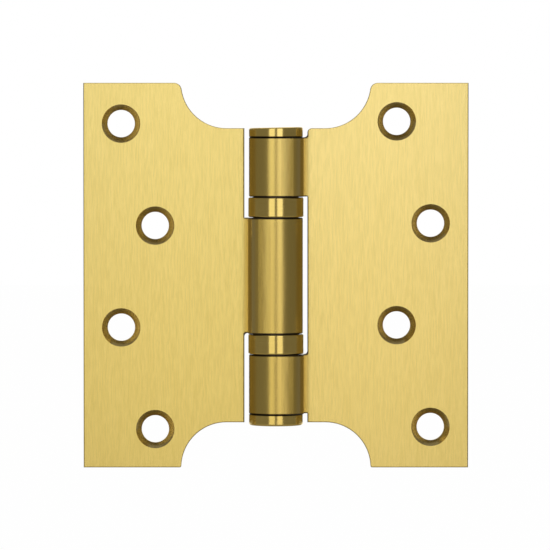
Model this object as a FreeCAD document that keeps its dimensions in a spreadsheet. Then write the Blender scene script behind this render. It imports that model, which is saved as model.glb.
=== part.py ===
import FreeCAD, Part
import math
import os
import Sketcher

# Parliament hinge with two thrust ball bearings, lying open and flat.
# The pin axis is Z, and the origin is the middle of the hinge on that axis.
# The screw side of both leaves faces -Y. The frame leaf lies to +X, the door leaf to -X.
# Lengths are in millimetres and angles in degrees.

doc = FreeCAD.newDocument("ParliamentHinge")
sheet = doc.addObject("Spreadsheet::Sheet", "Sizes")

SIZES = {
    # Leaves
    "leaf_height": 102.0,
    "leaf_reach": 51.0,
    "leaf_thickness": 3.0,
    "closed_gap": 1.6,
    "barrel_gap": 1.2,
    "shoulder_width": 4.75,
    "shoulder_rise": 2.4,
    "scoop_radius": 12.0,
    "upper_tip_round": 2.0,
    "lower_tip_round": 0.5,
    "shoulder_round": 1.2,
    "edge_ease": 0.25,
    # Screw holes
    "outer_column": 10.0,
    "column_step": 9.0,
    "end_margin": 10.5,
    "hole_shift": 0.3,
    "hole_diameter": 7.25,
    "sink_diameter": 10.2,
    "sink_angle": 90.0,
    # Rolled knuckles
    "bore_diameter": 8.3,
    "middle_length": 30.6,
    "bearing_space": 5.6,
    "flat_start": 11.0,
    "flat_end": 19.5,
    "flat_radius": 23.0,
    "knuckle_swell": 0.3,
    "joggle_radius": 3.0,
    "seam_gap": 0.12,
    "end_ease": 0.18,
    "strap_depth": 2.4,
    "root_overlap": 0.4,
    "notch_round": 0.85,
    # Pin and caps
    "pin_clearance": 0.05,
    "pin_chamfer": 0.8,
    "pin_play": 0.4,
    "cap_thickness": 3.0,
    "cap_round": 0.5,
    "cap_ease": 0.2,
    "grind_depth": 0.4,
    "grind_slope": 1.2,
    "spigot_length": 3.2,
    "spigot_clearance": 0.1,
    "spigot_chamfer": 0.4,
    # Thrust ball bearings
    "shell_proud": 0.175,
    "shell_wall": 0.6,
    "shell_gap": 0.2,
    "shell_round": 0.35,
    "lip_thickness": 0.5,
    "lip_width": 0.45,
    "race_clearance": 0.2,
    "groove_depth": 0.25,
    "ball_diameter": 1.5,
    "ball_count": 12.0,
    "ball_clearance": 0.05,
    "cage_thickness": 0.4,
    "cage_clearance": 0.1,
}

HOLE_ROWS = 4
TOLERANCE = 1e-4

for row, (alias, size) in enumerate(SIZES.items(), start=1):
    sheet.set(f"A{row}", alias.replace("_", " "))
    sheet.set(f"B{row}", str(size))
    sheet.setAlias(f"B{row}", alias)
doc.recompute()

# Places that follow from the driving sizes, as formulas of the sheet

HALF_HEIGHT = "(Sizes.leaf_height / 2)"
SHOULDER = "(Sizes.leaf_height / 2 - Sizes.scoop_radius)"
LEAF_FRONT = "(Sizes.closed_gap / 2)"
LEAF_BACK = "(Sizes.closed_gap / 2 + Sizes.leaf_thickness)"
BORE_RADIUS = "(Sizes.bore_diameter / 2)"
KNUCKLE_RADIUS = f"({BORE_RADIUS} + Sizes.leaf_thickness)"
KNUCKLE_SIDE = f"({KNUCKLE_RADIUS} + Sizes.knuckle_swell)"
INNER_EDGE = f"({KNUCKLE_RADIUS} + Sizes.barrel_gap)"
SCOOP_X = f"({INNER_EDGE} + Sizes.shoulder_width)"
ROOT_X = f"({KNUCKLE_SIDE} + Sizes.root_overlap)"
STRAP_X = f"({KNUCKLE_RADIUS} - Sizes.strap_depth)"
MIDDLE_END = "(Sizes.middle_length / 2)"
BEARING_MIDDLE = "(Sizes.middle_length / 2 + Sizes.bearing_space / 2)"
END_START = "(Sizes.middle_length / 2 + Sizes.bearing_space)"
BARREL_END = f"({SHOULDER} - Sizes.shoulder_rise)"
END_LENGTH = f"({BARREL_END} - {END_START})"
PIN_RADIUS = f"({BORE_RADIUS} - Sizes.pin_clearance)"
PIN_FOOT = f"(Sizes.spigot_length - {BARREL_END})"
PIN_LENGTH = f"(2 * {BARREL_END} - 2 * Sizes.spigot_length - Sizes.pin_play)"
SPIGOT_RADIUS = f"({BORE_RADIUS} - Sizes.spigot_clearance)"
SHELL_RADIUS = f"({KNUCKLE_RADIUS} + Sizes.shell_proud)"
SHELL_INNER = f"({SHELL_RADIUS} - Sizes.shell_wall)"
SHELL_END = "(Sizes.bearing_space / 2 - Sizes.shell_gap)"
LIP_INNER = f"({SHELL_INNER} - Sizes.lip_width)"
LIP_FACE = f"({SHELL_END} - Sizes.lip_thickness)"
RACE_BORE = f"({PIN_RADIUS} + Sizes.race_clearance)"
RACE_RIM = f"({SHELL_INNER} - Sizes.race_clearance)"
RACE_STEP = f"({LIP_INNER} - Sizes.race_clearance)"
BALL_RADIUS = "(Sizes.ball_diameter / 2)"
BALL_PITCH = f"(({PIN_RADIUS} + {SHELL_INNER}) / 2)"
RACE_FACE = f"({BALL_RADIUS} - Sizes.groove_depth)"
TOP_HOLE = f"({HALF_HEIGHT} - Sizes.end_margin)"
HOLE_PITCH = f"(2 * {TOP_HOLE} / {HOLE_ROWS - 1})"


def number(formula):
    """The present value of a formula of the sheet's sizes."""
    return float(sheet.evalExpression(formula))


class Outline:
    """A closed outline of straight sides and arcs, drawn end to end and then joined."""

    def __init__(self, sketch):
        self.sketch = sketch
        self.pieces = []

    def bind(self, kind, *parts, formula):
        """One dimension of the sketch, held by a formula."""
        constraint = Sketcher.Constraint(kind, *parts, number(formula))
        index = self.sketch.addConstraint(constraint)
        self.sketch.setExpression(f"Constraints[{index}]", formula)

    def locate(self, piece, point, x="", y=""):
        """Hold a point at its place from the sketch's origin, on either side of it."""
        for kind, formula in (("DistanceX", x), ("DistanceY", y)):
            if formula and number(formula) < 0:
                self.bind(kind, piece, point, -1, 1, formula=f"-({formula})")
            elif formula:
                self.bind(kind, -1, 1, piece, point, formula=formula)

    def side(self, start, end, x="", y=""):
        """A straight side: upright at a given x, or level at a given y."""
        line = Part.LineSegment(FreeCAD.Vector(*start, 0), FreeCAD.Vector(*end, 0))
        piece = self.sketch.addGeometry(line)
        direction = "Vertical" if x else "Horizontal"
        self.sketch.addConstraint(Sketcher.Constraint(direction, piece))
        self.locate(piece, 1, x, y)
        self.pieces.append((piece, 1, 2, False))

    def arc(self, centre, radius, start, end, bound=True):
        """An arc between two angles in degrees, smooth with the pieces before and after it."""
        circle = Part.Circle(
            FreeCAD.Vector(*centre, 0), FreeCAD.Vector(0, 0, 1), number(radius)
        )
        angles = sorted((math.radians(start), math.radians(end)))
        piece = self.sketch.addGeometry(Part.ArcOfCircle(circle, *angles))
        if bound:
            self.bind("Radius", piece, formula=radius)
        ends = (1, 2) if end > start else (2, 1)
        self.pieces.append((piece, *ends, True))
        return piece

    def corner(self, before, here, after, radius):
        """The arc of one rounded corner between a level and an upright side."""
        size = number(radius)
        into = [math.copysign(1, b - a) if abs(b - a) > TOLERANCE else 0 for a, b in zip(before, here)]
        out = [math.copysign(1, b - a) if abs(b - a) > TOLERANCE else 0 for a, b in zip(here, after)]
        centre = [c - size * i + size * o for c, i, o in zip(here, into, out)]
        start = math.degrees(math.atan2(-out[1], -out[0]))
        turn = 90 if into[0] * out[1] - into[1] * out[0] > 0 else -90
        self.arc(centre, radius, start, start + turn)

    def chain(self, corners, closed=False):
        """Level and upright sides between corners given as x, y and the corner's round."""
        count = len(corners)
        places = [(number(x), number(y)) for x, y, _ in corners]
        rounds = [number(r) if r else 0.0 for _, _, r in corners]
        for i in range(0 if closed else 1, count):
            here = places[i]
            before = places[i - 1]
            length = math.dist(before, here)
            step = [(b - a) / length for a, b in zip(before, here)]
            start = [a + rounds[i - 1] * d for a, d in zip(before, step)]
            end = [b - rounds[i] * d for b, d in zip(here, step)]
            if abs(step[0]) > abs(step[1]):
                self.side(start, end, y=corners[i][1])
            else:
                self.side(start, end, x=corners[i][0])
            if rounds[i]:
                self.corner(before, here, places[(i + 1) % count], corners[i][2])

    def close(self):
        """Join each piece to the next, smoothly where one of the two is an arc."""
        for here, there in zip(self.pieces, self.pieces[1:] + self.pieces[:1]):
            kind = "Tangent" if here[3] or there[3] else "Coincident"
            joint = Sketcher.Constraint(kind, here[0], here[2], there[0], there[1])
            self.sketch.addConstraint(joint)


def new_body(name):
    """An empty body, whose label names its file."""
    body = doc.addObject("PartDesign::Body", name)
    body.Label = name
    return body


def new_sketch(body, role, name, offset=""):
    """A sketch on one of the body's own origin planes, or moved along its normal."""
    sketch = body.newObject("Sketcher::SketchObject", f"{body.Name}_{name}")
    planes = [plane for plane in body.Origin.OriginFeatures if plane.Role == role]
    sketch.AttachmentSupport = [(planes[0], "")]
    sketch.MapMode = "FlatFace"
    if offset:
        sketch.setExpression("AttachmentOffset.Base.z", offset)
    return sketch


def circle(sketch, radius, x="", y=""):
    """A full circle, at the sketch's origin or at a given place."""
    place = FreeCAD.Vector(number(x) if x else 0, number(y) if y else 0, 0)
    size = number(radius)
    piece = sketch.addGeometry(Part.Circle(place, FreeCAD.Vector(0, 0, 1), size))
    outline = Outline(sketch)
    outline.bind("Radius", piece, formula=radius)
    if x:
        outline.locate(piece, 3, x, y)
    if x and not y:
        sketch.addConstraint(Sketcher.Constraint("PointOnObject", piece, 3, -1))
    if not x:
        sketch.addConstraint(Sketcher.Constraint("Coincident", piece, 3, -1, 1))


def feature(body, kind, name, profile=None):
    """A feature of a body, with its profile where it has one."""
    made = body.newObject(f"PartDesign::{kind}", f"{body.Name}_{name}")
    if profile is not None:
        made.Profile = profile
    return made


def pad(body, name, profile, length, backwards=False):
    """A profile raised by a length."""
    made = feature(body, "Pad", name, profile)
    made.setExpression("Length", length)
    made.Reversed = backwards
    return made


def through_pocket(body, name, profile):
    """A profile cut through the whole body, both ways."""
    made = feature(body, "Pocket", name, profile)
    made.Type = "ThroughAll"
    made.SideType = "Symmetric"
    return made


def turned(body, name, profile, kind="Revolution"):
    """A profile in the XZ plane turned fully about the pin axis."""
    made = feature(body, kind, name, profile)
    made.ReferenceAxis = (profile, ["V_Axis"])
    made.Angle = 360
    return made


def dress(body, kind, name, base, size, chosen):
    """A fillet or chamfer on the edges that a test chooses."""
    doc.recompute()
    edges = [f"Edge{i}" for i, edge in enumerate(base.Shape.Edges, start=1) if chosen(edge)]
    made = feature(body, kind, name)
    made.Base = (base, edges)
    made.setExpression("Radius" if kind == "Fillet" else "Size", size)
    return made


def flat_in(edge, axis, level):
    """Whether an edge lies in one plane across an axis."""
    low = getattr(edge.BoundBox, f"{axis}Min")
    high = getattr(edge.BoundBox, f"{axis}Max")
    return max(abs(low - level), abs(high - level)) < TOLERANCE


def scoop_and_tip(outline, side, tip_round):
    """The quarter round between a leaf's shoulder and its end edge, and the tip's round.

    side is 1 at the upper end and -1 at the lower end. The arcs follow the outline's own
    direction, which is down the outer edge and back up the barrel side.
    """
    tip = number(tip_round)
    scoop = number("Sizes.scoop_radius")
    centre_x = number(SCOOP_X)
    half = number(HALF_HEIGHT)
    tip_x = centre_x + math.sqrt((scoop + tip) ** 2 - tip ** 2)
    lean = math.degrees(math.asin(tip / (scoop + tip)))
    tip_centre = (tip_x, side * (half - tip))
    scoop_centre = (centre_x, side * half)
    if side < 0:
        outline.arc(tip_centre, tip_round, 270, 180 - lean)
        piece = outline.arc(scoop_centre, "Sizes.scoop_radius", lean, 90)
    else:
        piece = outline.arc(scoop_centre, "Sizes.scoop_radius", -90, -lean)
        outline.arc(tip_centre, tip_round, 180 + lean, 90)
    outline.locate(piece, 3, x=SCOOP_X)


def leaf_plate(body, upper_tip, lower_tip, barrel_side):
    """The flat plate of a leaf, with its straps reaching into the knuckles."""
    sketch = new_sketch(body, "XZ_Plane", "Outline", f"-{LEAF_FRONT}")
    outline = Outline(sketch)
    outline.chain([
        (f"{SCOOP_X} + Sizes.scoop_radius", HALF_HEIGHT, ""),
        ("Sizes.leaf_reach", HALF_HEIGHT, ""),
        ("Sizes.leaf_reach", f"-{HALF_HEIGHT}", ""),
        (f"{SCOOP_X} + Sizes.scoop_radius", f"-{HALF_HEIGHT}", ""),
    ])
    scoop_and_tip(outline, -1, lower_tip)
    outline.chain([(SCOOP_X, f"-{SHOULDER}", ""), *barrel_side, (SCOOP_X, SHOULDER, "")])
    scoop_and_tip(outline, 1, upper_tip)
    outline.close()
    return pad(body, "Plate", sketch, "Sizes.leaf_thickness", backwards=True)


def knuckle_profile(body, start):
    """The rolled section of a knuckle, seen along the pin.

    It is round but for the sheet's last bend beside the leaf, which stayed flatter, and
    for the joggle at the back, where the sheet steps over from the leaf into the roll.
    """
    sketch = new_sketch(body, "XY_Plane", "Roll", start)
    outline = Outline(sketch)
    radius = number(KNUCKLE_RADIUS)
    joggle = number("Sizes.joggle_radius")
    back = number(LEAF_BACK)
    front = number(LEAF_FRONT)
    side = number(KNUCKLE_SIDE)
    root = number(ROOT_X)
    flat = number("Sizes.flat_radius")
    first = math.radians(number("Sizes.flat_start"))
    last = math.radians(number("Sizes.flat_end"))
    joggle_y = back + joggle
    joggle_x = math.sqrt((radius + joggle) ** 2 - joggle_y ** 2)
    joggle_angle = math.degrees(math.atan2(joggle_y, joggle_x))
    flat_x = (radius - flat) * math.sin(first)
    flat_y = (flat - radius) * math.cos(first)
    end_x = flat_x + flat * math.sin(last)
    end_y = flat_y - flat * math.cos(last)
    curl = (side - end_x) / (1 - math.sin(last))
    curl_centre = (side - curl, end_y + curl * math.cos(last))
    start_formula = f"{KNUCKLE_RADIUS} * sin(Sizes.flat_start * 1 deg)"
    end_formula = (
        f"{start_formula} + Sizes.flat_radius"
        " * (sin(Sizes.flat_end * 1 deg) - sin(Sizes.flat_start * 1 deg))"
    )

    outline.arc((joggle_x, joggle_y), "Sizes.joggle_radius", 270, joggle_angle + 180)
    roll = outline.arc((0, 0), KNUCKLE_RADIUS, joggle_angle, 270 + math.degrees(first))
    sketch.addConstraint(Sketcher.Constraint("Coincident", roll, 3, -1, 1))
    flatter = outline.arc(
        (flat_x, flat_y), "Sizes.flat_radius", 270 + math.degrees(first), 270 + math.degrees(last)
    )
    outline.locate(flatter, 1, x=start_formula)
    outline.locate(flatter, 2, x=end_formula)
    outline.arc(curl_centre, str(curl), 270 + math.degrees(last), 360, bound=False)
    outline.side((side, curl_centre[1]), (side, front), x=KNUCKLE_SIDE)
    outline.side((side, front), (root, front), y=LEAF_FRONT)
    outline.side((root, front), (root, back), x=ROOT_X)
    outline.side((root, back), (joggle_x, back), y=LEAF_BACK)
    outline.close()
    return sketch


def knuckle(body, start, length, mirrored):
    """The rolled knuckles of a leaf, with eased ends: one in the middle, or one each end."""
    made = pad(body, "Knuckle", knuckle_profile(body, start), length)
    if mirrored:
        made = feature(body, "Mirrored", "Pair")
        made.Originals = [body.Tip]
        planes = [plane for plane in body.Origin.OriginFeatures if plane.Role == "XY_Plane"]
        made.MirrorPlane = (planes[0], [""])
        body.Tip = made
    side = number(KNUCKLE_SIDE)

    def is_roll_end(edge):
        level = edge.BoundBox.ZMax
        return flat_in(edge, "Z", level) and edge.BoundBox.XMax < side + TOLERANCE

    return dress(body, "Chamfer", "EasedEnds", made, "Sizes.end_ease", is_roll_end)


def ease_plate(body, plate):
    """The rounded edges of a leaf, all round its front and its back."""
    levels = (number(LEAF_FRONT), number(LEAF_BACK))
    return dress(
        body, "Fillet", "EasedEdges", plate, "Sizes.edge_ease",
        lambda edge: any(flat_in(edge, "Y", level) for level in levels),
    )


def screw_holes(body):
    """Rows of one countersunk screw hole each, in two staggered columns."""
    doc.recompute()
    sketch = new_sketch(body, "XZ_Plane", "Screws", f"-{LEAF_FRONT}")
    outer = "(Sizes.leaf_reach - Sizes.outer_column)"
    inner = "(Sizes.leaf_reach - Sizes.outer_column - Sizes.column_step)"
    for row in range(HOLE_ROWS):
        level = f"{TOP_HOLE} - {row} * {HOLE_PITCH} + Sizes.hole_shift"
        circle(sketch, "Sizes.hole_diameter / 2", outer if row % 2 else inner, level)
    doc.recompute()
    hole = feature(body, "Hole", "ScrewHoles", sketch)
    hole.Threaded = False
    hole.DepthType = "ThroughAll"
    hole.HoleCutType = "Countersink"
    hole.HoleCutCustomValues = True
    hole.setExpression("Diameter", "Sizes.hole_diameter")
    hole.setExpression("HoleCutDiameter", "Sizes.sink_diameter")
    hole.setExpression("HoleCutCountersinkAngle", "Sizes.sink_angle")


def pin_bore(body):
    """The bore for the pin, and the seam where the sheet's end closes on the leaf."""
    bore = new_sketch(body, "XY_Plane", "BoreCircle")
    circle(bore, BORE_RADIUS)
    through_pocket(body, "Bore", bore)
    seam = new_sketch(body, "XY_Plane", "SeamSlot")
    outline = Outline(seam)
    inside = f"({BORE_RADIUS} / 2)"
    outside = f"({KNUCKLE_SIDE} + Sizes.seam_gap)"
    low = f"({LEAF_FRONT} - Sizes.seam_gap)"
    outline.chain(
        [(inside, low, ""), (outside, low, ""), (outside, LEAF_FRONT, ""), (inside, LEAF_FRONT, "")],
        closed=True,
    )
    outline.close()
    through_pocket(body, "Seam", seam)


def make_leaf(name, start, length, mirrored, upper_tip, lower_tip, barrel_side):
    """A whole leaf, modelled reaching to +X: its rolled knuckles, joined to its plate."""
    rolls = new_body(f"{name}_rolls")
    knuckle(rolls, start, length, mirrored)
    pin_bore(rolls)
    body = new_body(name)
    plate = leaf_plate(body, upper_tip, lower_tip, barrel_side)
    ease_plate(body, plate)
    screw_holes(body)
    doc.recompute()
    joined = feature(body, "Boolean", "Joined")
    joined.Type = "Fuse"
    joined.setObjects([rolls])
    body.Tip = joined
    return body


def notch(start, end, start_round="", end_round=""):
    """The four corners of a strap, going up the barrel side of a leaf."""
    return [
        (INNER_EDGE, start, start_round),
        (STRAP_X, start, ""),
        (STRAP_X, end, ""),
        (INNER_EDGE, end, end_round),
    ]


frame_leaf = make_leaf(
    "frame_leaf", END_START, END_LENGTH, True,
    "Sizes.upper_tip_round", "Sizes.lower_tip_round",
    [
        (INNER_EDGE, f"-{SHOULDER}", ""),
        *notch(f"-{BARREL_END}", f"-{END_START}", end_round="Sizes.notch_round"),
        *notch(END_START, BARREL_END, end_round="Sizes.notch_round"),
        (INNER_EDGE, SHOULDER, "Sizes.shoulder_round"),
    ],
)

door_leaf = make_leaf(
    "door_leaf", f"-{MIDDLE_END}", "Sizes.middle_length", False,
    "Sizes.lower_tip_round", "Sizes.upper_tip_round",
    [
        (INNER_EDGE, f"-{SHOULDER}", ""),
        *notch(f"-{MIDDLE_END}", MIDDLE_END, end_round="Sizes.notch_round"),
        (INNER_EDGE, SHOULDER, ""),
    ],
)
door_leaf.Placement.Rotation = FreeCAD.Rotation(FreeCAD.Vector(0, 1, 0), 180)

# Pin

hinge_pin = new_body("hinge_pin")
pin_circle = new_sketch(hinge_pin, "XY_Plane", "Circle")
circle(pin_circle, PIN_RADIUS)
pin_rod = pad(hinge_pin, "Rod", pin_circle, PIN_LENGTH)
dress(hinge_pin, "Chamfer", "Ends", pin_rod, "Sizes.pin_chamfer", lambda edge: edge.Closed)
hinge_pin.setExpression("Placement.Base.z", PIN_FOOT)


def ground_end(body):
    """The end of a cap ground down a little and off square, lower on its door side."""
    sketch = new_sketch(body, "XY_Plane", "GrindCircle")
    circle(sketch, f"2 * {KNUCKLE_RADIUS}")
    sketch.AttachmentOffset = FreeCAD.Placement(
        FreeCAD.Vector(0, 0, number("Sizes.cap_thickness - Sizes.grind_depth")),
        FreeCAD.Rotation(FreeCAD.Vector(0, 1, 0), -number("Sizes.grind_slope")),
    )
    cut = feature(body, "Pocket", "GroundEnd", sketch)
    cut.Type = "ThroughAll"
    cut.Reversed = True
    return cut


def make_cap(name, ground):
    """An end cap: a disc with a spigot for the knuckle's bore, its seat in the XY plane."""
    body = new_body(name)
    disc_circle = new_sketch(body, "XY_Plane", "DiscCircle")
    circle(disc_circle, KNUCKLE_RADIUS)
    disc = pad(body, "Disc", disc_circle, "Sizes.cap_thickness")
    seat_edge = dress(
        body, "Chamfer", "SeatEdge", disc, "Sizes.cap_ease",
        lambda edge: edge.Closed and flat_in(edge, "Z", 0),
    )
    middle = number("Sizes.cap_thickness / 2")
    dress(
        body, "Fillet", "EndEdge", ground_end(body) if ground else seat_edge, "Sizes.cap_round",
        lambda edge: edge.Closed and edge.BoundBox.ZMin > middle,
    )
    spigot_circle = new_sketch(body, "XY_Plane", "SpigotCircle")
    circle(spigot_circle, SPIGOT_RADIUS)
    spigot = pad(body, "Spigot", spigot_circle, "Sizes.spigot_length", backwards=True)
    foot = -number("Sizes.spigot_length")
    dress(
        body, "Chamfer", "SpigotEnd", spigot, "Sizes.spigot_chamfer",
        lambda edge: edge.Closed and flat_in(edge, "Z", foot),
    )
    return body


top_cap = make_cap("top_cap", ground=True)
top_cap.setExpression("Placement.Base.z", BARREL_END)

bottom_cap = make_cap("bottom_cap", ground=False)
bottom_cap.Placement.Rotation = FreeCAD.Rotation(FreeCAD.Vector(1, 0, 0), 180)
bottom_cap.setExpression("Placement.Base.z", f"-{BARREL_END}")


def make_shell(name):
    """The crimped shell of a bearing, a ring with an inward lip at each end."""
    body = new_body(name)
    sketch = new_sketch(body, "XZ_Plane", "Section")
    outline = Outline(sketch)
    outline.chain([
        (SHELL_RADIUS, f"-{SHELL_END}", "Sizes.shell_round"),
        (SHELL_RADIUS, SHELL_END, "Sizes.shell_round"),
        (LIP_INNER, SHELL_END, ""),
        (LIP_INNER, LIP_FACE, ""),
        (SHELL_INNER, LIP_FACE, ""),
        (SHELL_INNER, f"-{LIP_FACE}", ""),
        (LIP_INNER, f"-{LIP_FACE}", ""),
        (LIP_INNER, f"-{SHELL_END}", ""),
    ], closed=True)
    outline.close()
    turned(body, "Ring", sketch)
    return body


def make_race(name, clearance):
    """A race that stands on a knuckle's end above the balls, stepped to pass the shell's lip."""
    body = new_body(name)
    section = new_sketch(body, "XZ_Plane", "Section")
    outline = Outline(section)
    seat = "(Sizes.bearing_space / 2)"
    rim_top = f"({LIP_FACE} - {clearance})"
    outline.chain([
        (RACE_BORE, RACE_FACE, ""),
        (RACE_RIM, RACE_FACE, ""),
        (RACE_RIM, rim_top, ""),
        (RACE_STEP, rim_top, ""),
        (RACE_STEP, seat, ""),
        (RACE_BORE, seat, ""),
    ], closed=True)
    outline.close()
    turned(body, "Ring", section)
    doc.recompute()
    raceway = new_sketch(body, "XZ_Plane", "Raceway")
    circle(raceway, f"{BALL_RADIUS} + Sizes.ball_clearance", x=BALL_PITCH)
    turned(body, "Groove", raceway, kind="Groove")
    return body


def make_cage(name):
    """The flat cage that keeps a bearing's balls apart."""
    body = new_body(name)
    ring = new_sketch(body, "XY_Plane", "Ring", "-Sizes.cage_thickness / 2")
    circle(ring, RACE_RIM)
    circle(ring, RACE_BORE)
    pad(body, "Plate", ring, "Sizes.cage_thickness")
    doc.recompute()
    pocket_circle = new_sketch(body, "XY_Plane", "PocketCircle")
    circle(pocket_circle, f"{BALL_RADIUS} + Sizes.cage_clearance", x=BALL_PITCH)
    pocket = through_pocket(body, "Pocket", pocket_circle)
    pockets = feature(body, "PolarPattern", "Pockets")
    pockets.Originals = [pocket]
    axes = [axis for axis in body.Origin.OriginFeatures if axis.Role == "Z_Axis"]
    pockets.Axis = (axes[0], [""])
    pockets.Angle = 360
    pockets.setExpression("Occurrences", "Sizes.ball_count")
    body.Tip = pockets
    return body


def make_balls(name, level):
    """The balls of a bearing, evenly round the pin."""
    balls = []
    for i in range(round(number("Sizes.ball_count"))):
        ball = doc.addObject("Part::Sphere", f"{name}_{i + 1}")
        ball.setExpression("Radius", BALL_RADIUS)
        angle = f"({i} * 360 deg / Sizes.ball_count)"
        ball.setExpression("Placement.Base.x", f"{BALL_PITCH} * cos({angle})")
        ball.setExpression("Placement.Base.y", f"{BALL_PITCH} * sin({angle})")
        ball.setExpression("Placement.Base.z", level)
        balls.append(ball)
    compound = doc.addObject("Part::Compound", name)
    compound.Label = name
    compound.Links = balls
    return compound


def make_bearing(name, frame_side):
    """One bearing: frame_side is 1 where the frame leaf's knuckle lies above it, else -1."""
    level = f"{frame_side} * {BEARING_MIDDLE}"
    frame_race = make_race(f"{name}_frame_race", "Sizes.race_clearance")
    door_race = make_race(f"{name}_door_race", "0")
    shell = make_shell(f"{name}_shell")
    cage = make_cage(f"{name}_cage")
    upside_down = FreeCAD.Rotation(FreeCAD.Vector(1, 0, 0), 180)
    turned_race = door_race if frame_side > 0 else frame_race
    turned_race.Placement.Rotation = upside_down
    for body in (frame_race, door_race, shell, cage):
        body.setExpression("Placement.Base.z", level)
    balls = make_balls(f"{name}_balls", level)
    return [frame_race, door_race, shell, cage, balls]


upper_bearing = make_bearing("upper", 1)
lower_bearing = make_bearing("lower", -1)

subparts = [frame_leaf, door_leaf, hinge_pin, top_cap, bottom_cap, *upper_bearing, *lower_bearing]

doc.recompute()

for item in doc.Objects:
    if "Invalid" in item.State or "Error" in item.State:
        raise RuntimeError(f"{item.Name} could not be built: {item.State}")
for item in subparts:
    if item.Shape.isNull() or not item.Shape.isValid():
        raise RuntimeError(f"{item.Label} has no valid shape")

os.makedirs("parts", exist_ok=True)
for item in subparts:
    item.Shape.exportStep(f"parts/{item.Label}.step")
    print(item.Label, len(item.Shape.Solids), round(item.Shape.Volume, 2))
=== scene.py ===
import math

import bpy
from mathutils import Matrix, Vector


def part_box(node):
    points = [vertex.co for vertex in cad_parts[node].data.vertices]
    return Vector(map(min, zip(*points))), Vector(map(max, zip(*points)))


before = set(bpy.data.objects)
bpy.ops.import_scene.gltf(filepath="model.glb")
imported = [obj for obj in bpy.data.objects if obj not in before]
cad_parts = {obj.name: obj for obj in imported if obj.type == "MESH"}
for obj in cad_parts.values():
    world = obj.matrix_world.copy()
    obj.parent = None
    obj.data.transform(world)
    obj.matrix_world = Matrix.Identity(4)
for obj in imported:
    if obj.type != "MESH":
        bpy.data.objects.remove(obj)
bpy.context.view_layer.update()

bl_info = {
    "name": "Parliament hinge finishes",
    "version": (1, 0, 0),
    "blender": (4, 5, 0),
    "location": "3D View > Sidebar > Hinge",
    "description": "Brushed and turned brass, ground steel and a plain studio for a parliament hinge",
    "category": "Object",
}

MM = 0.001
LEAVES = ("frame_leaf", "door_leaf")
ROUND_PARTS = ("top_cap", "bottom_cap", "upper_shell", "lower_shell")
BEARINGS = ("upper", "lower")

# How deep a cap's spigot reaches into its knuckle
SPIGOT_LENGTH = 3.2 * MM

# How far from the pin axis a leaf ends, and how far from it the leaf's edge runs beside the barrel
LEAF_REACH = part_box("frame_leaf")[1].x
INNER_EDGE = 8.35 * MM

# How far above and below the hinge's middle one piece of the barrel meets the next
MIDDLE_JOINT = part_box("upper_door_race")[0].z
END_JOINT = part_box("upper_frame_race")[1].z
CAP_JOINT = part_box("top_cap")[0].z + SPIGOT_LENGTH

# Distances from the pin axis, in pairs: where a finish on the leaves, and the painted shade at the root and
# the seams, is absent, and where it is full
SHEET_FROM = (7.6 * MM, 8.4 * MM)
FOLD_FROM = (7.8 * MM, 9.8 * MM)
ROOT_FROM = (7.2 * MM, 7.5 * MM)
ROOT_UP_TO = (9.0 * MM, 7.8 * MM)
SEAM_UP_TO = (8.6 * MM, 8.2 * MM)

# How squarely to the front or the back a face of a leaf looks: where it is still flat, and where it is cut
CUT_FACING = (0.96, 0.8)

# Patterns' repeats to the metre: across, to the back and up
CLOUD_REPEATS = (60.0, 60.0, 25.0)
WAVE_REPEATS = (420.0, 420.0, 75.0)
TURNED_REPEATS = (150.0, 150.0, 9000.0)

# The brushed grain's broad lines against its fine ones: their share, their width and their length
BROAD_SHARE = 0.22
BROAD_WIDTH = 6
BROAD_LENGTH = 2

# Levels of a pattern of lines at which its colour is all deep, and all light
LINE_LEVELS = (0.3, 0.7)

# How much the roughness varies over the brushed sheet, the rolled knuckles, and turned or ground lines
SHEET_SPREAD = 0.12
ROLL_SPREAD = 0.05
FINE_SPREAD = 0.08

# The part of a full turn from the way that lines run to the way that they draw out highlights
SQUARE_TO_LINES = 0.25


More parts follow.
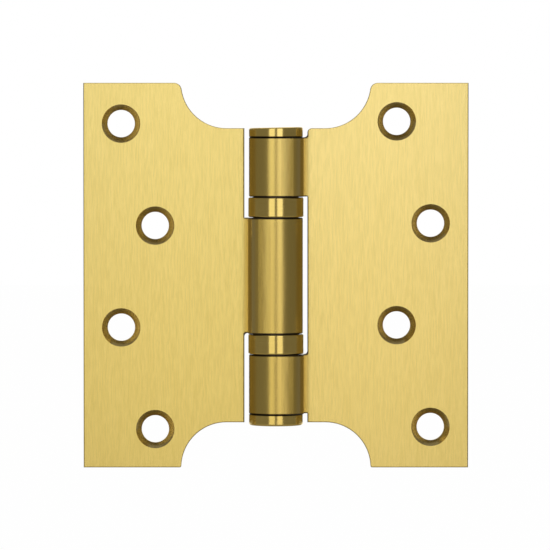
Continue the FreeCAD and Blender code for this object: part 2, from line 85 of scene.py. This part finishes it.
class HingeFinish(bpy.types.PropertyGroup):
    """Colours, grain and polish of the hinge's metals, with the colours of the shade painted at the knuckle
    roots, the joints and the leaves' inner edges.
    """

    brass_light: bpy.props.FloatVectorProperty(
        name="Brass", description="Colour of the brushed brass sheet", subtype="COLOR",
        default=(0.99, 0.765, 0.252),
    )
    brass_deep: bpy.props.FloatVectorProperty(
        name="Brass in the grain", description="Colour down in the brushed lines", subtype="COLOR",
        default=(0.83, 0.635, 0.195),
    )
    roll_light: bpy.props.FloatVectorProperty(
        name="Rolled brass", description="Colour of the rolled knuckles", subtype="COLOR",
        default=(0.80, 0.58, 0.155),
    )
    # Painted shade and reflection: a deeper amber where each leaf bends into its knuckle, standing in for the
    # shade and the barrel's warm reflection in that crease
    root_painted_shade: bpy.props.FloatVectorProperty(
        name="Brass at the root", description="Colour where a leaf bends into its knuckle", subtype="COLOR",
        default=(0.84, 0.585, 0.135),
    )
    cut_light: bpy.props.FloatVectorProperty(
        name="Cut brass", description="Colour of the countersinks, bores and edges", subtype="COLOR",
        default=(0.80, 0.63, 0.27),
    )
    turned_light: bpy.props.FloatVectorProperty(
        name="Turned brass", description="Colour of the caps and bearing shells", subtype="COLOR",
        default=(0.93, 0.695, 0.21),
    )
    turned_deep: bpy.props.FloatVectorProperty(
        name="Turned brass in the lines", description="Colour down in the turned lines", subtype="COLOR",
        default=(0.85, 0.615, 0.17),
    )
    # Painted shade: the seams' dark colour stands in for the shadow in the joints' gaps and on their eased
    # edges
    seam_painted_shade: bpy.props.FloatVectorProperty(
        name="Seams", description="Colour of the dark oil in the barrel's joints", subtype="COLOR",
        default=(0.10, 0.07, 0.03),
    )
    # Painted shade: a dark line along each leaf's inner edge beside the barrel, where the eased edge falls
    # into shadow
    edge_painted_shade: bpy.props.FloatVectorProperty(
        name="Sheared edge", description="Colour of the leaves' edges beside the barrel", subtype="COLOR",
        default=(0.08, 0.055, 0.02),
    )
    sheet_roughness: bpy.props.FloatProperty(
        name="Sheet roughness", description="Roughness of the flat brushed leaves",
        default=0.24, min=0.0, max=1.0, subtype="FACTOR",
    )
    cut_roughness: bpy.props.FloatProperty(
        name="Cut roughness", description="Roughness of the countersinks, bores and edges",
        default=0.11, min=0.0, max=1.0, subtype="FACTOR",
    )
    roll_roughness: bpy.props.FloatProperty(
        name="Knuckle roughness", description="Roughness of the rolled knuckles",
        default=0.225, min=0.0, max=1.0, subtype="FACTOR",
    )
    turned_roughness: bpy.props.FloatProperty(
        name="Turned roughness", description="Roughness of the caps and bearing shells",
        default=0.19, min=0.0, max=1.0, subtype="FACTOR",
    )
    brushed_stretch: bpy.props.FloatProperty(
        name="Brushed stretch", description="How far the brushed lines draw out highlights to their sides",
        default=0.7, min=0.0, max=1.0, subtype="FACTOR",
    )
    turned_stretch: bpy.props.FloatProperty(
        name="Turned stretch", description="How far the turned lines draw out highlights to their sides",
        default=0.5, min=0.0, max=1.0, subtype="FACTOR",
    )
    grain_width: bpy.props.FloatProperty(
        name="Grain width", description="Width of one brushed line",
        default=0.3 * MM, min=0.02 * MM, max=2 * MM, subtype="DISTANCE", unit="LENGTH",
    )
    grain_length: bpy.props.FloatProperty(
        name="Grain length", description="Length of one brushed line",
        default=4 * MM, min=0.5 * MM, max=50 * MM, subtype="DISTANCE", unit="LENGTH",
    )
    grain_depth: bpy.props.FloatProperty(
        name="Grain depth", description="Depth of the brushed lines",
        default=0.006 * MM, min=0.0, max=0.1 * MM, subtype="DISTANCE", unit="LENGTH",
    )
    turned_depth: bpy.props.FloatProperty(
        name="Turned depth", description="Depth of the turned lines",
        default=0.002 * MM, min=0.0, max=0.1 * MM, subtype="DISTANCE", unit="LENGTH",
    )
    roll_waves: bpy.props.FloatProperty(
        name="Knuckle waves",
        description="Depth of the rolled knuckles' waves against that of the brushed lines",
        default=7.0, min=0.0, max=50.0,
    )
    edge_width: bpy.props.FloatProperty(
        name="Edge width", description="How far the dark of a leaf's inner edge reaches over its face",
        default=0.36 * MM, min=0.0, max=1.0 * MM, subtype="DISTANCE", unit="LENGTH",
    )
    seam_width: bpy.props.FloatProperty(
        name="Seam width", description="How far the dark of a joint reaches to each side of it",
        default=0.4 * MM, min=0.0, max=1.0 * MM, subtype="DISTANCE", unit="LENGTH",
    )
    leaf_fold: bpy.props.FloatProperty(
        name="Leaf fold",
        description="How far back each leaf's face catches the light, as if not quite flat open",
        default=math.radians(6.0), subtype="ANGLE", unit="ROTATION",
    )
    leaf_bow: bpy.props.FloatProperty(
        name="Leaf bow",
        description="How much further a leaf's face is turned back at its outer edge than at the pin",
        default=math.radians(1.5), subtype="ANGLE", unit="ROTATION",
    )


class HingeStage(bpy.types.PropertyGroup):
    """The camera's place and the floor's."""

    camera_distance: bpy.props.FloatProperty(
        name="Camera distance", description="From the camera to the pin axis",
        default=1.3, min=0.3, max=5.0, subtype="DISTANCE", unit="LENGTH",
    )
    camera_rise: bpy.props.FloatProperty(
        name="Camera rise", description="How far above level the camera looks from",
        default=math.radians(2.0), subtype="ANGLE", unit="ROTATION",
    )
    frame_width: bpy.props.FloatProperty(
        name="Frame width", description="Width of the picture at the pin axis",
        default=145.66 * MM, min=0.02, max=1.0, subtype="DISTANCE", unit="LENGTH",
    )
    floor_drop: bpy.props.FloatProperty(
        name="Floor drop", description="From the hinge's middle down to the floor",
        default=150 * MM, min=0.052, max=1.0, subtype="DISTANCE", unit="LENGTH",
    )


class NodeMaker:
    """Adds nodes to a tree and joins them."""

    def __init__(self, tree):
        self.nodes = tree.nodes
        self.links = tree.links

    def add(self, kind, **settings):
        node = self.nodes.new(kind)
        for key, value in settings.items():
            setattr(node, key, value)
        return node

    def feed(self, socket, value):
        """A link where the value comes from a node, else a plain setting."""
        if isinstance(value, bpy.types.NodeSocket):
            self.links.new(value, socket)
        else:
            socket.default_value = value

    def split(self, vector):
        """The three parts of a vector, by the names X, Y and Z."""
        node = self.add("ShaderNodeSeparateXYZ")
        self.feed(node.inputs["Vector"], vector)
        return node.outputs

    def math(self, operation, first, second=0.0, third=0.0):
        node = self.add("ShaderNodeMath", operation=operation)
        for socket, value in zip(node.inputs, (first, second, third)):
            self.feed(socket, value)
        return node.outputs["Value"]

    def ramp(self, value, absent, full, step="SMOOTHSTEP"):
        """0 where the value is at absent or before it, 1 at full or past it, and a step in between."""
        node = self.add("ShaderNodeMapRange", interpolation_type=step)
        self.feed(node.inputs["Value"], value)
        self.feed(node.inputs["From Min"], absent)
        self.feed(node.inputs["From Max"], full)
        return node.outputs["Result"]

    def blend(self, share, first, second):
        """A number between two others."""
        node = self.add("ShaderNodeMix", data_type="FLOAT")
        self.feed(node.inputs["Factor"], share)
        self.feed(node.inputs[2], first)
        self.feed(node.inputs[3], second)
        return node.outputs[0]

    def mix(self, share, first, second):
        """A colour between two others."""
        node = self.add("ShaderNodeMix", data_type="RGBA")
        self.feed(node.inputs["Factor"], share)
        for socket, colour in ((node.inputs[6], first), (node.inputs[7], second)):
            self.feed(socket, colour if isinstance(colour, bpy.types.NodeSocket) else (*colour, 1.0))
        return node.outputs[2]


# Materials

class Finish(NodeMaker):
    """A material under construction: one metal shader and the pattern nodes behind it."""

    def __init__(self, name):
        self.material = bpy.data.materials.new(name)
        self.material.use_nodes = True
        super().__init__(self.material.node_tree)
        self.shader = self.nodes["Principled BSDF"].inputs
        self.shader["Metallic"].default_value = 1.0
        coordinates = self.add("ShaderNodeTexCoord").outputs
        self.place = coordinates["Object"]
        self.facing = coordinates["Normal"]
        place = self.split(self.place)
        self.across = place["X"]
        self.height = place["Z"]

    def noise(self, repeats, detail=2.0, roughness=0.5):
        """Noise with so many repeats to the metre along each axis."""
        mapping = self.add("ShaderNodeMapping")
        self.feed(mapping.inputs["Vector"], self.place)
        self.feed(mapping.inputs["Scale"], repeats)
        noise = self.add("ShaderNodeTexNoise")
        self.feed(noise.inputs["Vector"], mapping.outputs["Vector"])
        self.feed(noise.inputs["Scale"], 1.0)
        self.feed(noise.inputs["Detail"], detail)
        self.feed(noise.inputs["Roughness"], roughness)
        return noise.outputs["Fac"]

    def fine_lines(self, repeats):
        """Fine noise, which is lines where it repeats least along one axis."""
        return self.noise(repeats, detail=3.0, roughness=0.6)

    def from_axis(self):
        """The distance from the pin axis."""
        flat = self.add("ShaderNodeVectorMath", operation="MULTIPLY")
        self.feed(flat.inputs[0], self.place)
        self.feed(flat.inputs[1], (1.0, 1.0, 0.0))
        length = self.add("ShaderNodeVectorMath", operation="LENGTH")
        self.feed(length.inputs[0], flat.outputs["Vector"])
        return length.outputs["Value"]

    def facing_front(self):
        """How squarely the surface faces the front or the back: 1 on a leaf's flat faces."""
        return self.math("ABSOLUTE", self.split(self.facing)["Y"])

    def near_joints(self, reach):
        """1 at the barrel's joints, where shade is painted, fading to 0 a little above and below them."""
        height = self.math("ABSOLUTE", self.height)
        share = 0.0
        for joint in (MIDDLE_JOINT, END_JOINT, CAP_JOINT):
            off = self.math("ABSOLUTE", self.math("SUBTRACT", height, joint))
            share = self.math("MAXIMUM", share, self.ramp(off, reach, reach / 2))
        return share

    def free_of_barrel(self):
        """1 at the heights where a leaf's edge runs free, and 0 where the leaf bends into its knuckle."""
        height = self.math("ABSOLUTE", self.height)
        past_middle = self.math("GREATER_THAN", height, MIDDLE_JOINT)
        at_ends = self.math("MULTIPLY", self.math("GREATER_THAN", height, END_JOINT),
                            self.math("LESS_THAN", height, CAP_JOINT))
        on_frame = self.math("GREATER_THAN", self.across, 0.0)
        return self.blend(on_frame, past_middle, self.math("SUBTRACT", 1.0, at_ends))

    def beside_barrel(self, reach):
        """1 along a leaf's edge where it runs free of the barrel, where shade is painted, fading over its
        face.
        """
        across = self.math("ABSOLUTE", self.across)
        near = self.ramp(across, INNER_EDGE + reach, INNER_EDGE + reach / 2)
        past_barrel = self.math("GREATER_THAN", across, INNER_EDGE - reach)
        return self.math("MULTIPLY", self.math("MULTIPLY", near, self.free_of_barrel()), past_barrel)

    def at_root(self, from_axis):
        """1 where a leaf bends into its knuckle, where shade and reflection are painted, fading over its
        face.
        """
        near = self.math("MULTIPLY", self.ramp(from_axis, *ROOT_UP_TO), self.ramp(from_axis, *ROOT_FROM))
        return self.math("MULTIPLY", near, self.math("SUBTRACT", 1.0, self.free_of_barrel()))

    def turned_back(self, share, fold, bow):
        """The way the surface faces, turned back a little on each side of the pin where share is 1.

        It is turned by the angle fold at the pin, and by bow more at a leaf's outer edge.
        """
        side = self.math("SIGN", self.across)
        angle = self.math("MULTIPLY_ADD", self.math("ABSOLUTE", self.across), bow / LEAF_REACH, fold)
        turn = self.add("ShaderNodeVectorRotate", rotation_type="Z_AXIS")
        self.feed(turn.inputs["Vector"], self.add("ShaderNodeNewGeometry").outputs["Normal"])
        self.feed(turn.inputs["Angle"], self.math("MULTIPLY", self.math("MULTIPLY", side, share), angle))
        return turn.outputs["Vector"]

    def varied(self, level, middle, spread):
        """A roughness that goes with a pattern's level, and is at its middle where the level is a half."""
        return self.math("MULTIPLY_ADD", level, spread, middle - spread / 2)

    def bump(self, level, depth, facing=None):
        """Relief of that depth, on the surface or on another way that it faces."""
        node = self.add("ShaderNodeBump")
        self.feed(node.inputs["Height"], level)
        self.feed(node.inputs["Strength"], 1.0)
        self.feed(node.inputs["Distance"], depth)
        if facing:
            self.feed(node.inputs["Normal"], facing)
        self.feed(self.shader["Normal"], node.outputs["Normal"])

    def brushed_way(self, cut):
        """The way that a leaf's lines run: upright on the sheet, and round each hole where it is cut."""
        up = self.add("ShaderNodeCombineXYZ")
        self.feed(up.inputs["Z"], 1.0)
        round_hole = self.add("ShaderNodeVectorMath", operation="CROSS_PRODUCT")
        self.feed(round_hole.inputs[0], self.facing)
        self.feed(round_hole.inputs[1], (0.0, 1.0, 0.0))
        way = self.add("ShaderNodeMix", data_type="VECTOR")
        self.feed(way.inputs["Factor"], cut)
        self.feed(way.inputs[4], up.outputs["Vector"])
        self.feed(way.inputs[5], round_hole.outputs["Vector"])
        placed = self.add("ShaderNodeVectorTransform", vector_type="VECTOR",
                          convert_from="OBJECT", convert_to="WORLD")
        self.feed(placed.inputs["Vector"], way.outputs[1])
        return placed.outputs["Vector"]

    def turned_way(self):
        """The way that turned lines run: round the pin axis."""
        return self.add("ShaderNodeTangent", direction_type="RADIAL", axis="Z").outputs["Tangent"]

    def stretch(self, amount, way):
        """Highlights drawn out to the sides of lines that run a given way."""
        self.shader["Anisotropic"].default_value = amount
        self.shader["Anisotropic Rotation"].default_value = SQUARE_TO_LINES
        self.feed(self.shader["Tangent"], way)


def brushed_brass(settings):
    """Brass sheet brushed along its height, smoother where it is rolled round the pin, with shade painted
    where each leaf bends into its knuckle, along the barrel's joints and along the leaves' inner edges.
    """
    finish = Finish("brushed_brass")
    from_axis = finish.from_axis()
    sheet = finish.ramp(from_axis, *SHEET_FROM)
    cut = finish.math("MULTIPLY", sheet, finish.ramp(finish.facing_front(), *CUT_FACING))
    flat = finish.math("MULTIPLY", finish.ramp(from_axis, *FOLD_FROM), finish.math("SUBTRACT", 1.0, cut))

    across = 1 / settings.grain_width
    along = 1 / settings.grain_length
    fine = finish.fine_lines((across, across, along))
    broad = finish.noise((across / BROAD_WIDTH, across / BROAD_WIDTH, along / BROAD_LENGTH))
    lines = finish.math("MULTIPLY_ADD", broad, BROAD_SHARE, finish.math("MULTIPLY", fine, 1 - BROAD_SHARE))

    brushed = finish.mix(finish.ramp(lines, *LINE_LEVELS), settings.brass_deep, settings.brass_light)
    metal = finish.mix(sheet, settings.roll_light, brushed)
    # Painted shade and reflection where each leaf bends into its knuckle
    metal = finish.mix(finish.at_root(from_axis), metal, settings.root_painted_shade)
    metal = finish.mix(cut, metal, settings.cut_light)
    # Painted shade along each leaf's inner edge beside the barrel
    metal = finish.mix(finish.beside_barrel(settings.edge_width), metal, settings.edge_painted_shade)
    # Painted shade along the barrel's joints
    seam = finish.math("MULTIPLY", finish.near_joints(settings.seam_width),
                       finish.ramp(from_axis, *SEAM_UP_TO))
    finish.feed(finish.shader["Base Color"], finish.mix(seam, metal, settings.seam_painted_shade))

    cloud = finish.noise(CLOUD_REPEATS, detail=1.0)
    rolled = finish.varied(cloud, settings.roll_roughness, ROLL_SPREAD)
    rough = finish.blend(sheet, rolled, finish.varied(lines, settings.sheet_roughness, SHEET_SPREAD))
    finish.feed(finish.shader["Roughness"], finish.blend(cut, rough, settings.cut_roughness))

    waves = finish.math("MULTIPLY", finish.noise(WAVE_REPEATS), finish.blend(sheet, settings.roll_waves, 0.0))
    finish.bump(finish.math("ADD", lines, waves), settings.grain_depth,
                finish.turned_back(flat, settings.leaf_fold, settings.leaf_bow))
    finish.stretch(settings.brushed_stretch, finish.brushed_way(cut))
    return finish.material


def turned_brass(settings):
    """Brass with fine lines round the pin axis, and shade painted along the barrel's joints."""
    finish = Finish("turned_brass")
    fine = finish.fine_lines(TURNED_REPEATS)
    metal = finish.mix(finish.ramp(fine, *LINE_LEVELS), settings.turned_deep, settings.turned_light)
    # Painted shade along the barrel's joints
    metal = finish.mix(finish.near_joints(settings.seam_width), metal, settings.seam_painted_shade)
    finish.feed(finish.shader["Base Color"], metal)
    finish.feed(finish.shader["Roughness"], finish.varied(fine, settings.turned_roughness, FINE_SPREAD))
    finish.bump(fine, settings.turned_depth)
    finish.stretch(settings.turned_stretch, finish.turned_way())
    return finish.material


def plain_metal(name, light, deep, roughness, repeats, depth):
    """Ground, polished or pressed metal, with fine lines or a fine grain."""
    finish = Finish(name)
    fine = finish.fine_lines(repeats)
    finish.feed(finish.shader["Base Color"], finish.mix(finish.ramp(fine, *LINE_LEVELS), deep, light))
    finish.feed(finish.shader["Roughness"], finish.varied(fine, roughness, FINE_SPREAD))
    finish.bump(fine, depth)
    return finish.material


def give(node, material):
    """A material for a node, in its own slots."""
    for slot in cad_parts[node].material_slots:
        slot.material = material


class HINGE_OT_finish_leaves(bpy.types.Operator):
    """Brush the two leaves along their height"""

    bl_idname = "hinge.finish_leaves"
    bl_label = "Finish leaves"

    def execute(self, context):
        material = brushed_brass(context.scene.hinge_finish)
        for node in LEAVES:
            give(node, material)
        return {"FINISHED"}


class HINGE_OT_finish_round_parts(bpy.types.Operator):
    """Turn the caps and the bearing shells"""

    bl_idname = "hinge.finish_round_parts"
    bl_label = "Finish caps and shells"

    def execute(self, context):
        material = turned_brass(context.scene.hinge_finish)
        for node in ROUND_PARTS:
            give(node, material)
        return {"FINISHED"}


class HINGE_OT_finish_inner_parts(bpy.types.Operator):
    """Grind the pin and the races, polish the balls and press the cages, with the races coloured dark as
    painted shade in the barrel's gaps
    """

    bl_idname = "hinge.finish_inner_parts"
    bl_label = "Finish pin and bearings"

    def execute(self, context):
        settings = context.scene.hinge_finish
        pin = plain_metal(
            "ground_pin", light=(0.56, 0.56, 0.58), deep=(0.42, 0.42, 0.44),
            roughness=0.3, repeats=(3000, 3000, 200), depth=0.003 * MM,
        )
        # Painted shade: the ground steel races are coloured a dark brown that stands in for the shadow they
        # lie in, deep in the barrel's gaps
        race = plain_metal(
            "ground_race_painted_shade", light=(0.17, 0.13, 0.08), deep=(0.11, 0.08, 0.05),
            roughness=0.35, repeats=(200, 200, 6000), depth=0.002 * MM,
        )
        ball = plain_metal(
            "polished_ball", light=(0.72, 0.72, 0.74), deep=(0.66, 0.66, 0.68),
            roughness=0.08, repeats=(900, 900, 900), depth=0.0005 * MM,
        )
        cage = plain_metal(
            "pressed_cage", light=settings.turned_light, deep=settings.turned_deep,
            roughness=0.4, repeats=(1500, 1500, 1500), depth=0.004 * MM,
        )
        give("hinge_pin", pin)
        for side in BEARINGS:
            give(f"{side}_frame_race", race)
            give(f"{side}_door_race", race)
            give(f"{side}_balls", ball)
            give(f"{side}_cage", cage)
        return {"FINISHED"}


# Stage

WHITE = (1.0, 1.0, 1.0)
SOFT_WHITE = (0.9, 0.9, 0.9)
PAPER = (0.86, 0.86, 0.85)
FLOOR_SIZE = 8.0

# The share of plain white in the floor, as it is seen. The rest shows the hinge's shadow
FLOOR_WHITE = 0.97

# How far in front of the pin the softboxes stand, and the heights that they reach between
SOFTBOX_DISTANCE = 0.6
SOFTBOX_FOOT = -0.2
SOFTBOX_HEAD = 0.75

# The energy for each square metre of a softbox at which a strength of 1 glows as plain white
GLOW_ENERGY = 4.0

# How a softbox's glow grows with each metre of height, and the most that it grows to
GLOW_RISE = 2.1
GLOW_LIMIT = 1.14

# A softbox's tone low down and high up, and the heights between which it turns
LOW_TONE = (1.0, 0.975, 0.885)
HIGH_TONE = (1.0, 1.04, 1.2)
TONE_HEIGHTS = (-0.06, 0.04)

# Where the cards that reflections see end: at the sides, in front, above, and towards the back
STUDIO_SIDE = 0.75
STUDIO_FRONT = -1.9
STUDIO_TOP = 1.45
SIDE_CARDS_BACK = 1.7
LOW_CARD_BACK = 0.35
APRON_CARD_BACK = -0.45
OVER_CARD_BACK = 0.5

# How far above the floor the cards on it lie
CARD_LIFT = 2 * MM

# The photograph's width in pixels, and where the hinge's middle lies in it
PHOTO_PIXELS = 550
MIDDLE_ACROSS = 275.9
MIDDLE_DOWN = 275.5


def clear_selection():
    """Nothing selected, so that the next operator acts on its own piece alone."""
    bpy.ops.object.select_all(action="DESELECT")


def plain_glow(name, colour):
    """A material that shows one brightness, whatever the light."""
    material = bpy.data.materials.new(name)
    material.use_nodes = True
    make = NodeMaker(material.node_tree)
    make.nodes.remove(make.nodes["Principled BSDF"])
    emission = make.add("ShaderNodeEmission")
    make.feed(emission.inputs["Color"], (*colour, 1.0))
    make.feed(make.nodes["Material Output"].inputs["Surface"], emission.outputs["Emission"])
    return material


def seen_directly(make):
    """1 for rays from the camera, a gloss or a clear body, and 0 for rays that gather light."""
    path = make.add("ShaderNodeLightPath").outputs
    gloss_or_clear = make.math("MAXIMUM", path["Is Glossy Ray"], path["Is Transmission Ray"])
    return make.math("MAXIMUM", path["Is Camera Ray"], gloss_or_clear)


def card(name, tone, near, far):
    """A flat studio card between two opposite corners, which only reflections see."""
    size = Vector(far) - Vector(near)
    if size.x == 0:
        turn, extent = (0.0, math.radians(90), 0.0), (size.z, size.y)
    elif size.y == 0:
        turn, extent = (math.radians(90), 0.0, 0.0), (size.x, size.z)
    else:
        turn, extent = (0.0, 0.0, 0.0), (size.x, size.y)
    clear_selection()
    bpy.ops.mesh.primitive_plane_add(size=1.0, location=Vector(near) + size / 2, rotation=turn)
    plane = bpy.context.active_object
    plane.name = name
    plane.scale = (*extent, 1.0)
    plane.data.materials.append(plain_glow(name, tone))
    plane.visible_camera = False
    plane.visible_diffuse = False
    plane.visible_shadow = False


def bluer(tone, share):
    """A tone with a share of its blue, which may be more than 1."""
    red, green, blue = tone
    return red, green, blue * share


def softbox(name, left, right, strength, fade, blue):
    """A large soft light in front of the hinge, between two places across.

    Its glow drops by the share fade for each metre away from the middle of the stage, and
    its tones have the share blue of their usual blue.
    """
    light = bpy.data.lights.new(name, "AREA")
    light.shape = "RECTANGLE"
    light.size = right - left
    light.size_y = SOFTBOX_HEAD - SOFTBOX_FOOT
    light.energy = GLOW_ENERGY * light.size * light.size_y
    light.use_nodes = True
    make = NodeMaker(light.node_tree)
    place = make.split(make.add("ShaderNodeNewGeometry").outputs["Position"])
    rising = make.math("MULTIPLY_ADD", place["Z"], GLOW_RISE * strength, strength)
    rising = make.math("MINIMUM", rising, GLOW_LIMIT * strength)
    fading = make.math("MULTIPLY_ADD", make.math("ABSOLUTE", place["X"]), -fade, 1.0)
    upper = make.ramp(place["Z"], *TONE_HEIGHTS, step="LINEAR")
    emission = make.nodes["Emission"].inputs
    make.feed(emission["Strength"], make.math("MULTIPLY", rising, fading))
    make.feed(emission["Color"], make.mix(upper, bluer(LOW_TONE, blue), bluer(HIGH_TONE, blue)))
    lamp = bpy.data.objects.new(name, light)
    bpy.context.scene.collection.objects.link(lamp)
    lamp.location = ((left + right) / 2, -SOFTBOX_DISTANCE, (SOFTBOX_FOOT + SOFTBOX_HEAD) / 2)
    lamp.rotation_euler = (math.radians(90), 0.0, 0.0)
    lamp.visible_camera = False


def pale_world(scene):
    """A white world to look at, and a softer one to be lit by."""
    world = bpy.data.worlds.new("studio")
    scene.world = world
    world.use_nodes = True
    make = NodeMaker(world.node_tree)
    make.feed(make.nodes["Background"].inputs["Color"], make.mix(seen_directly(make), SOFT_WHITE, WHITE))


def pale_floor(height):
    """A plain pale floor under the hinge, which keeps a faint shadow."""
    clear_selection()
    bpy.ops.mesh.primitive_plane_add(size=FLOOR_SIZE, location=(0.0, 0.0, height))
    floor = bpy.context.active_object
    floor.name = "floor"
    material = plain_glow("floor_paper", WHITE)
    make = NodeMaker(material.node_tree)
    paper = make.add("ShaderNodeBsdfDiffuse")
    make.feed(paper.inputs["Color"], (*PAPER, 1.0))
    both = make.add("ShaderNodeMixShader")
    make.feed(both.inputs["Fac"], make.math("MULTIPLY", seen_directly(make), FLOOR_WHITE))
    make.feed(both.inputs[1], paper.outputs["BSDF"])
    make.feed(both.inputs[2], make.nodes["Emission"].outputs["Emission"])
    make.feed(make.nodes["Material Output"].inputs["Surface"], both.outputs["Shader"])
    floor.data.materials.append(material)


class HINGE_OT_set_stage(bpy.types.Operator):
    """Set up the floor, the soft lights and the cards"""

    bl_idname = "hinge.set_stage"
    bl_label = "Set stage"

    def execute(self, context):
        scene = context.scene
        scene.view_settings.view_transform = "Standard"
        floor = -scene.hinge_stage.floor_drop
        low = floor + CARD_LIFT
        side, front, top = STUDIO_SIDE, STUDIO_FRONT, STUDIO_TOP
        pale_world(scene)
        pale_floor(floor)
        softbox("left_softbox", left=-0.332, right=-0.045, strength=0.765, fade=0.15, blue=0.95)
        softbox("right_softbox", left=0.056, right=0.322, strength=0.85, fade=0.1, blue=1.06)
        card("front_card", (0.10, 0.097, 0.09), (-side, front, floor), (side, front, top))
        card("left_card", (0.19, 0.186, 0.178), (-side, front, floor), (-side, SIDE_CARDS_BACK, top))
        card("right_card", (0.17, 0.166, 0.158), (side, front, floor), (side, SIDE_CARDS_BACK, top))
        card("low_card", (0.28, 0.274, 0.262), (-side, APRON_CARD_BACK, low), (side, LOW_CARD_BACK, low))
        card("apron_card", (0.18, 0.176, 0.168), (-side, front, low), (side, APRON_CARD_BACK, low))
        card("over_card", (0.24, 0.235, 0.225), (-side, front, top), (side, OVER_CARD_BACK, top))
        return {"FINISHED"}


class HINGE_OT_set_camera(bpy.types.Operator):
    """Set the camera square to the open leaves, a little above level"""

    bl_idname = "hinge.set_camera"
    bl_label = "Set camera"

    def execute(self, context):
        settings = context.scene.hinge_stage
        camera = bpy.data.cameras.new("camera")
        camera.lens = camera.sensor_width * settings.camera_distance / settings.frame_width
        holder = bpy.data.objects.new("camera", camera)
        context.scene.collection.objects.link(holder)
        pixel = settings.frame_width / PHOTO_PIXELS
        centre = PHOTO_PIXELS / 2
        target = Vector(((centre - MIDDLE_ACROSS) * pixel, 0.0, (MIDDLE_DOWN - centre) * pixel))
        back = Vector((0.0, -math.cos(settings.camera_rise), math.sin(settings.camera_rise)))
        holder.location = target + back * settings.camera_distance
        holder.rotation_euler = (math.radians(90) - settings.camera_rise, 0.0, 0.0)
        context.scene.camera = holder
        return {"FINISHED"}


class HINGE_PT_panel(bpy.types.Panel):
    """The hinge's finishes and its stage, in the sidebar"""

    bl_label = "Parliament hinge"
    bl_idname = "HINGE_PT_panel"
    bl_space_type = "VIEW_3D"
    bl_region_type = "UI"
    bl_category = "Hinge"

    def draw(self, context):
        for settings in (context.scene.hinge_finish, context.scene.hinge_stage):
            box = self.layout.box()
            for name in type(settings).__annotations__:
                box.prop(settings, name)
        for step in STEPS:
            self.layout.operator(step.bl_idname)


STEPS = (
    HINGE_OT_finish_leaves,
    HINGE_OT_finish_round_parts,
    HINGE_OT_finish_inner_parts,
    HINGE_OT_set_stage,
    HINGE_OT_set_camera,
)
CLASSES = (HingeFinish, HingeStage, *STEPS, HINGE_PT_panel)


def register():
    for cls in CLASSES:
        bpy.utils.register_class(cls)
    bpy.types.Scene.hinge_finish = bpy.props.PointerProperty(type=HingeFinish)
    bpy.types.Scene.hinge_stage = bpy.props.PointerProperty(type=HingeStage)


def unregister():
    del bpy.types.Scene.hinge_stage
    del bpy.types.Scene.hinge_finish
    for cls in reversed(CLASSES):
        bpy.utils.unregister_class(cls)


def main():
    register()
    bpy.ops.hinge.finish_leaves()
    bpy.ops.hinge.finish_round_parts()
    bpy.ops.hinge.finish_inner_parts()
    bpy.ops.hinge.set_stage()
    bpy.ops.hinge.set_camera()


if __name__ == "__main__":
    main()
